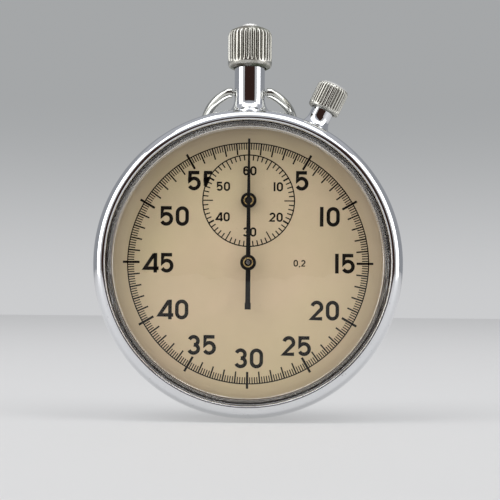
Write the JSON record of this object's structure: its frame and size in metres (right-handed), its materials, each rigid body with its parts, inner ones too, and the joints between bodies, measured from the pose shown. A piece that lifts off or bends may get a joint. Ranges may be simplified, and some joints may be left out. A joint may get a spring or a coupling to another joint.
{
  "type": "mechanical stopwatch",
  "caption": "Round chromed mechanical stopwatch with a knurled winding crown, a side reset button, a folding bow, a sweep seconds hand and a small minute counter.",
  "frame": {"origin": "middle of the back cover's flat outer face", "axes": "+X to the right of the dial, -Y out of the dial towards the reader, +Z towards the 12 and the crown"},
  "size_m": [0.055, 0.0232, 0.071],
  "materials": {
    "chrome": "polished chromium plate",
    "nickel": "worn nickel plate",
    "acrylic": "clear, polished",
    "dial": "cream lacquer",
    "black": "black paint",
    "brass": "brushed",
    "gilt": "gilt, matt",
    "steel": "polished",
    "blued": "blued",
    "ruby": "polished"
  },
  "bodies": {
    "case": {"case_body": "chrome", "front_bezel": "chrome", "crystal": "acrylic", "crystal_ring": "chrome", "back_cover": "chrome", "movement_ring": "brass", "dial": "dial", "main_plate": "gilt", "train_bridge": "gilt", "hour_jewel": "ruby", "third_jewel": "ruby", "seconds_jewel": "ruby", "escape_jewel": "ruby", "balance_cock": "gilt", "balance_jewel": "ruby", "cock_screw": "steel", "bridge_screw_1": "steel", "bridge_screw_2": "steel", "bridge_screw_3": "steel", "bridge_screw_4": "steel", "fork_bridge": "gilt", "hammer_screw": "steel", "crown_spring": "steel", "reset_spring": "steel", "hairspring": "blued"},
    "bow": {"bow": "chrome"},
    "winding_pinion": {"winding_pinion": "steel"},
    "crown_and_stem": {"crown": "nickel", "winding_stem": "steel"},
    "crown_wheel": {"crown_wheel": "steel"},
    "winding_idler": {"winding_idler": "steel"},
    "ratchet": {"ratchet_wheel": "steel", "barrel_arbor": "steel"},
    "click": {"click": "steel"},
    "reset_button": {"reset_button": "nickel", "reset_plunger": "steel"},
    "reset_hammer": {"reset_hammer": "steel"},
    "start_lever": {"start_lever": "steel"},
    "column_wheel": {"column_wheel": "steel"},
    "brake_lever": {"brake_lever": "steel"},
    "seconds_train": {"seconds_arbor": "steel", "seconds_wheel": "brass", "seconds_heart_cam": "steel", "sweep_hand": "black"},
    "third_wheel": {"third_arbor": "steel", "third_wheel": "brass"},
    "hour_train": {"hour_arbor": "steel", "hour_wheel": "brass", "minute_heart_cam": "steel", "minute_hand": "black"},
    "barrel": {"barrel_drum": "brass", "barrel_cover": "brass", "mainspring": "blued"},
    "escape_wheel": {"escape_arbor": "steel", "escape_wheel": "steel"},
    "pallet_fork": {"pallet_fork": "steel"},
    "balance": {"balance_wheel": "brass", "balance_staff": "steel"}
  },
  "joints": [
    {"name": "bow_swing", "type": "hinge", "parent": "case", "child": "bow", "pos_m": [0, -0.007, 0.031], "axis": [1, 0, 0], "range_deg": [0, 242]},
    {"name": "crown_turn", "type": "hinge", "parent": "case", "child": "winding_pinion", "pos_m": [0, -0.007, 0.019], "axis": [0, 0, 1], "continuous": true},
    {"name": "crown_push", "type": "slide", "parent": "winding_pinion", "child": "crown_and_stem", "axis": [0, 0, -1], "range_m": [0, 0.001], "stiffness_N_per_m": 2000, "springref_m": -0.002, "deforming": ["crown_spring"]},
    {"name": "crown_wheel_turn", "type": "hinge", "parent": "case", "child": "crown_wheel", "pos_m": [0, -0.005, 0.0155], "axis": [0, -1, 0], "continuous": true},
    {"name": "winding_idler_turn", "type": "hinge", "parent": "case", "child": "winding_idler", "pos_m": [-0.00503, -0.005, 0.01353], "axis": [0, -1, 0], "continuous": true},
    {"name": "ratchet_turn", "type": "hinge", "parent": "case", "child": "ratchet", "pos_m": [-0.00953, -0.005, 0.0087], "axis": [0, -1, 0], "continuous": true},
    {"name": "click_swing", "type": "hinge", "parent": "case", "child": "click", "pos_m": [-0.0166, -0.005, 0.0102], "axis": [0, 1, 0], "range_deg": [0, 8], "stiffness_Nm_per_rad": 0.0005},
    {"name": "reset_push", "type": "slide", "parent": "case", "child": "reset_button", "axis": [-0.4305, 0, -0.9026], "range_m": [0, 0.0012], "stiffness_N_per_m": 2000, "springref_m": -0.0015, "deforming": ["reset_spring"]},
    {"name": "reset_hammer_swing", "type": "hinge", "parent": "case", "child": "reset_hammer", "pos_m": [0.0165, -0.0021, 0.008], "axis": [0, -1, 0], "range_deg": [0, 6.1]},
    {"name": "start_lever_swing", "type": "hinge", "parent": "case", "child": "start_lever", "pos_m": [0.005, -0.0065, 0.0182], "axis": [0, -1, 0], "range_deg": [0, 9.2]},
    {"name": "column_wheel_turn", "type": "hinge", "parent": "case", "child": "column_wheel", "pos_m": [0.0126, -0.006, 0.0112], "axis": [0, -1, 0], "continuous": true},
    {"name": "brake_lever_swing", "type": "hinge", "parent": "case", "child": "brake_lever", "pos_m": [0.0172, -0.00475, -0.001], "axis": [0, -1, 0], "range_deg": [-1.5, 1.5]},
    {"name": "sweep_seconds_turn", "type": "hinge", "parent": "case", "child": "seconds_train", "pos_m": [0, -0.005, 0], "axis": [0, 1, 0], "continuous": true},
    {"name": "third_wheel_turn", "type": "hinge", "parent": "case", "child": "third_wheel", "pos_m": [0.00426, -0.005, 0.00508], "axis": [0, 1, 0], "continuous": true},
    {"name": "minute_counter_turn", "type": "hinge", "parent": "case", "child": "hour_train", "pos_m": [0, -0.005, 0.011], "axis": [0, 1, 0], "continuous": true},
    {"name": "barrel_turn", "type": "hinge", "parent": "case", "child": "barrel", "pos_m": [-0.00953, -0.007, 0.0087], "axis": [0, 1, 0], "continuous": true},
    {"name": "escape_wheel_turn", "type": "hinge", "parent": "case", "child": "escape_wheel", "pos_m": [0.0031, -0.0065, -0.00583], "axis": [0, 1, 0], "continuous": true},
    {"name": "pallet_fork_swing", "type": "hinge", "parent": "case", "child": "pallet_fork", "pos_m": [0.00493, -0.0065, -0.00927], "axis": [0, 1, 0], "range_deg": [-5, 5]},
    {"name": "balance_swing", "type": "hinge", "parent": "case", "child": "balance", "pos_m": [0.007, -0.0047, -0.01316], "axis": [0, 1, 0], "range_deg": [-220, 220], "deforming": ["hairspring"]}
  ],
  "couplings": [
    {"joint": "crown_wheel_turn", "follows": "crown_turn", "ratio": 0.47059},
    {"joint": "winding_idler_turn", "follows": "crown_turn", "ratio": -0.8},
    {"joint": "ratchet_turn", "follows": "crown_turn", "ratio": 0.34783},
    {"joint": "reset_hammer_swing", "follows": "reset_push", "rad_per_m": 87.5},
    {"joint": "start_lever_swing", "follows": "crown_push", "rad_per_m": 156},
    {"joint": "third_wheel_turn", "follows": "sweep_seconds_turn", "ratio": -0.13333},
    {"joint": "minute_counter_turn", "follows": "sweep_seconds_turn", "ratio": 0.016667},
    {"joint": "barrel_turn", "follows": "sweep_seconds_turn", "ratio": -0.0027778},
    {"joint": "escape_wheel_turn", "follows": "sweep_seconds_turn", "ratio": -10}
  ]
}
